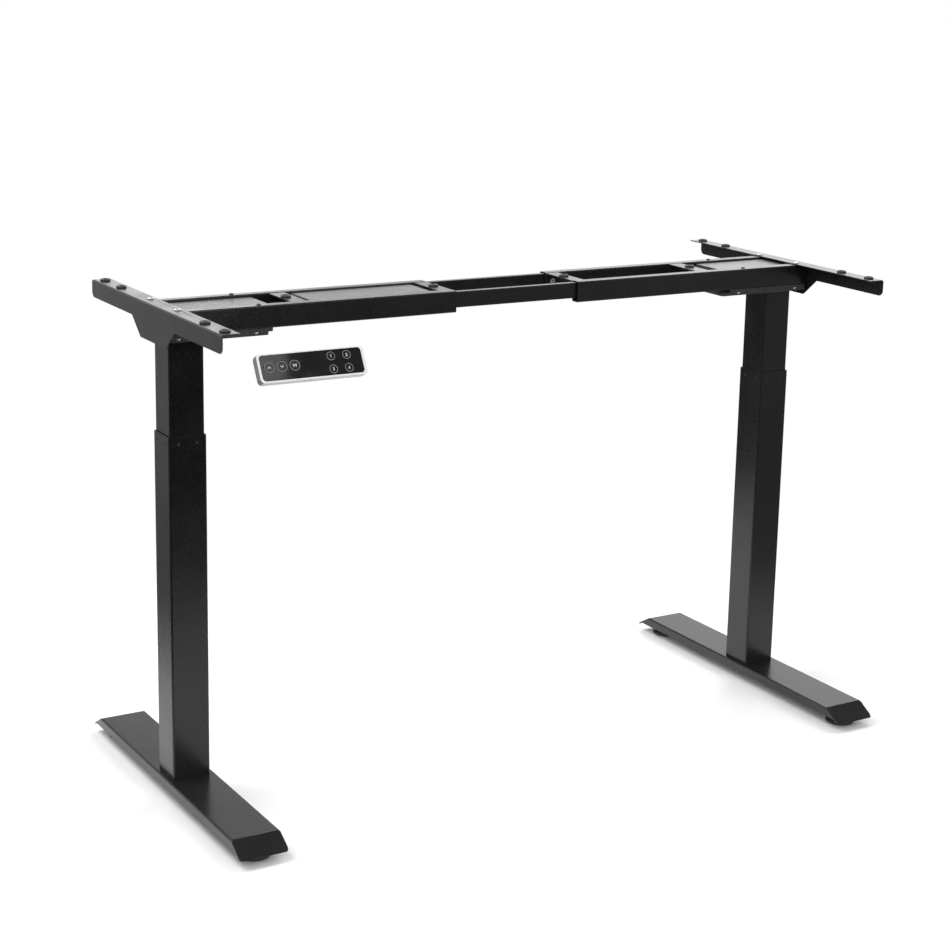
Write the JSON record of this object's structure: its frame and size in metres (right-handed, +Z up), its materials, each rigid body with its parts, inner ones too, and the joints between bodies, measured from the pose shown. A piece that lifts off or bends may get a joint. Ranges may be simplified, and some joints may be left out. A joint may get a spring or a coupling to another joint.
{
  "type": "height adjustable desk frame",
  "caption": "Electric height adjustable desk frame with two telescopic square legs, T-shaped feet, telescopic top rails, side brackets and a tilted control handset.",
  "frame": {"origin": "on the floor, under the middle of the frame, at the bottom centre of its overall box", "axes": "+X to the right along the width, +Y to the back, +Z up"},
  "size_m": [1.381, 0.7, 0.9003],
  "materials": {
    "foot_paint": "satin black powder coat",
    "column_paint": "satin black powder coat",
    "rail_paint": "satin black powder coat",
    "bracket_paint": "satin black powder coat",
    "plate_paint": "satin black powder coat",
    "cover_paint": "satin black powder coat",
    "zinc_screws": "bright zinc plating",
    "dark_screws": "black oxide",
    "bumper_rubber": "matte",
    "glide_rubber": "matte",
    "slide_plastic": "low friction plastic",
    "steel": "machined",
    "nut_plastic": "acetal",
    "cast_alloy": "die cast",
    "motor_can": "zinc plated can",
    "circuit_board": "solder mask",
    "handset_shell": "satin light grey moulding",
    "handset_gloss": "high gloss black",
    "key_gloss": "gloss black with pale ring"
  },
  "bodies": {
    "left_base": {"left_foot": "foot_paint", "left_glide_nut_plates": "steel", "left_foot_bolts": "dark_screws", "left_outer_column": "column_paint", "left_slide_pads": "slide_plastic", "left_pad_screws": "dark_screws", "left_drive_tube": "steel", "left_spindle_nut": "nut_plastic"},
    "left_glide_front": {"left_glide_front": "glide_rubber"},
    "left_glide_rear": {"left_glide_rear": "glide_rubber"},
    "left_spindle": {"left_spindle": "steel"},
    "left_top": {"left_inner_column": "column_paint", "left_column_plate": "plate_paint", "left_rail_plate": "plate_paint", "left_gearbox": "cast_alloy", "left_motor": "motor_can", "left_motor_cover": "cover_paint", "left_front_rail": "rail_paint", "left_rear_rail": "rail_paint", "left_cross_plates": "rail_paint", "left_side_bracket": "bracket_paint", "left_bumpers": "bumper_rubber", "left_frame_screws": "zinc_screws", "control_box_base": "cover_paint", "control_box_lid": "cover_paint", "control_board": "circuit_board", "handset_housing": "handset_shell", "handset_panel": "handset_gloss", "handset_board": "circuit_board"},
    "right_base": {"right_foot": "foot_paint", "right_glide_nut_plates": "steel", "right_foot_bolts": "dark_screws", "right_outer_column": "column_paint", "right_slide_pads": "slide_plastic", "right_pad_screws": "dark_screws", "right_drive_tube": "steel", "right_spindle_nut": "nut_plastic"},
    "right_glide_front": {"right_glide_front": "glide_rubber"},
    "right_glide_rear": {"right_glide_rear": "glide_rubber"},
    "right_spindle": {"right_spindle": "steel"},
    "right_top": {"right_inner_column": "column_paint", "right_column_plate": "plate_paint", "right_rail_plate": "plate_paint", "right_gearbox": "cast_alloy", "right_motor": "motor_can", "right_motor_cover": "cover_paint", "right_front_rail": "rail_paint", "right_rear_rail": "rail_paint", "right_cross_plates": "rail_paint", "right_side_bracket": "bracket_paint", "right_bumpers": "bumper_rubber", "right_frame_screws": "zinc_screws"},
    "center_rails": {"center_rails": "rail_paint"},
    "handset_key_up": {"handset_key_up": "key_gloss"},
    "handset_key_down": {"handset_key_down": "key_gloss"},
    "handset_key_memory": {"handset_key_memory": "key_gloss"},
    "handset_key_one": {"handset_key_one": "key_gloss"},
    "handset_key_two": {"handset_key_two": "key_gloss"},
    "handset_key_three": {"handset_key_three": "key_gloss"},
    "handset_key_four": {"handset_key_four": "key_gloss"}
  },
  "joints": [
    {"name": "left_lift", "type": "slide", "parent": "left_base", "child": "left_top", "axis": [0, 0, 1], "range_m": [-0.165, 0.31]},
    {"name": "right_lift", "type": "slide", "parent": "right_top", "child": "right_base", "axis": [0, 0, -1], "range_m": [-0.165, 0.31]},
    {"name": "left_spindle_turn", "type": "hinge", "parent": "left_top", "child": "left_spindle", "pos_m": [-0.643, 0, 0.5], "axis": [0, 0, 1], "range_deg": [-7465, 13990]},
    {"name": "right_spindle_turn", "type": "hinge", "parent": "right_top", "child": "right_spindle", "pos_m": [0.643, 0, 0.5], "axis": [0, 0, 1], "range_deg": [-7465, 13990]},
    {"name": "left_width_slide", "type": "slide", "parent": "left_top", "child": "center_rails", "axis": [1, 0, 0], "range_m": [-0.13, 0.13]},
    {"name": "right_width_slide", "type": "slide", "parent": "center_rails", "child": "right_top", "axis": [1, 0, 0], "range_m": [-0.13, 0.13]},
    {"name": "left_glide_front_screw", "type": "slide", "parent": "left_base", "child": "left_glide_front", "axis": [0, 0, 1], "range_m": [0, 0.008]},
    {"name": "left_glide_rear_screw", "type": "slide", "parent": "left_base", "child": "left_glide_rear", "axis": [0, 0, 1], "range_m": [0, 0.008]},
    {"name": "right_glide_front_screw", "type": "slide", "parent": "right_base", "child": "right_glide_front", "axis": [0, 0, 1], "range_m": [0, 0.008]},
    {"name": "right_glide_rear_screw", "type": "slide", "parent": "right_base", "child": "right_glide_rear", "axis": [0, 0, 1], "range_m": [0, 0.008]},
    {"name": "handset_key_up_press", "type": "slide", "parent": "left_top", "child": "handset_key_up", "axis": [0, 0.8746, -0.4848], "range_m": [0, 0.0005], "stiffness_N_per_m": 1200, "springref_m": -0.0004},
    {"name": "handset_key_down_press", "type": "slide", "parent": "left_top", "child": "handset_key_down", "axis": [0, 0.8746, -0.4848], "range_m": [0, 0.0005], "stiffness_N_per_m": 1200, "springref_m": -0.0004},
    {"name": "handset_key_memory_press", "type": "slide", "parent": "left_top", "child": "handset_key_memory", "axis": [0, 0.8746, -0.4848], "range_m": [0, 0.0005], "stiffness_N_per_m": 1200, "springref_m": -0.0004},
    {"name": "handset_key_one_press", "type": "slide", "parent": "left_top", "child": "handset_key_one", "axis": [0, 0.8746, -0.4848], "range_m": [0, 0.0005], "stiffness_N_per_m": 1200, "springref_m": -0.0004},
    {"name": "handset_key_two_press", "type": "slide", "parent": "left_top", "child": "handset_key_two", "axis": [0, 0.8746, -0.4848], "range_m": [0, 0.0005], "stiffness_N_per_m": 1200, "springref_m": -0.0004},
    {"name": "handset_key_three_press", "type": "slide", "parent": "left_top", "child": "handset_key_three", "axis": [0, 0.8746, -0.4848], "range_m": [0, 0.0005], "stiffness_N_per_m": 1200, "springref_m": -0.0004},
    {"name": "handset_key_four_press", "type": "slide", "parent": "left_top", "child": "handset_key_four", "axis": [0, 0.8746, -0.4848], "range_m": [0, 0.0005], "stiffness_N_per_m": 1200, "springref_m": -0.0004}
  ],
  "couplings": [
    {"joint": "right_lift", "follows": "left_lift", "ratio": 1},
    {"joint": "left_spindle_turn", "follows": "left_lift", "rad_per_m": 785.4},
    {"joint": "right_spindle_turn", "follows": "left_lift", "rad_per_m": 785.4}
  ]
}
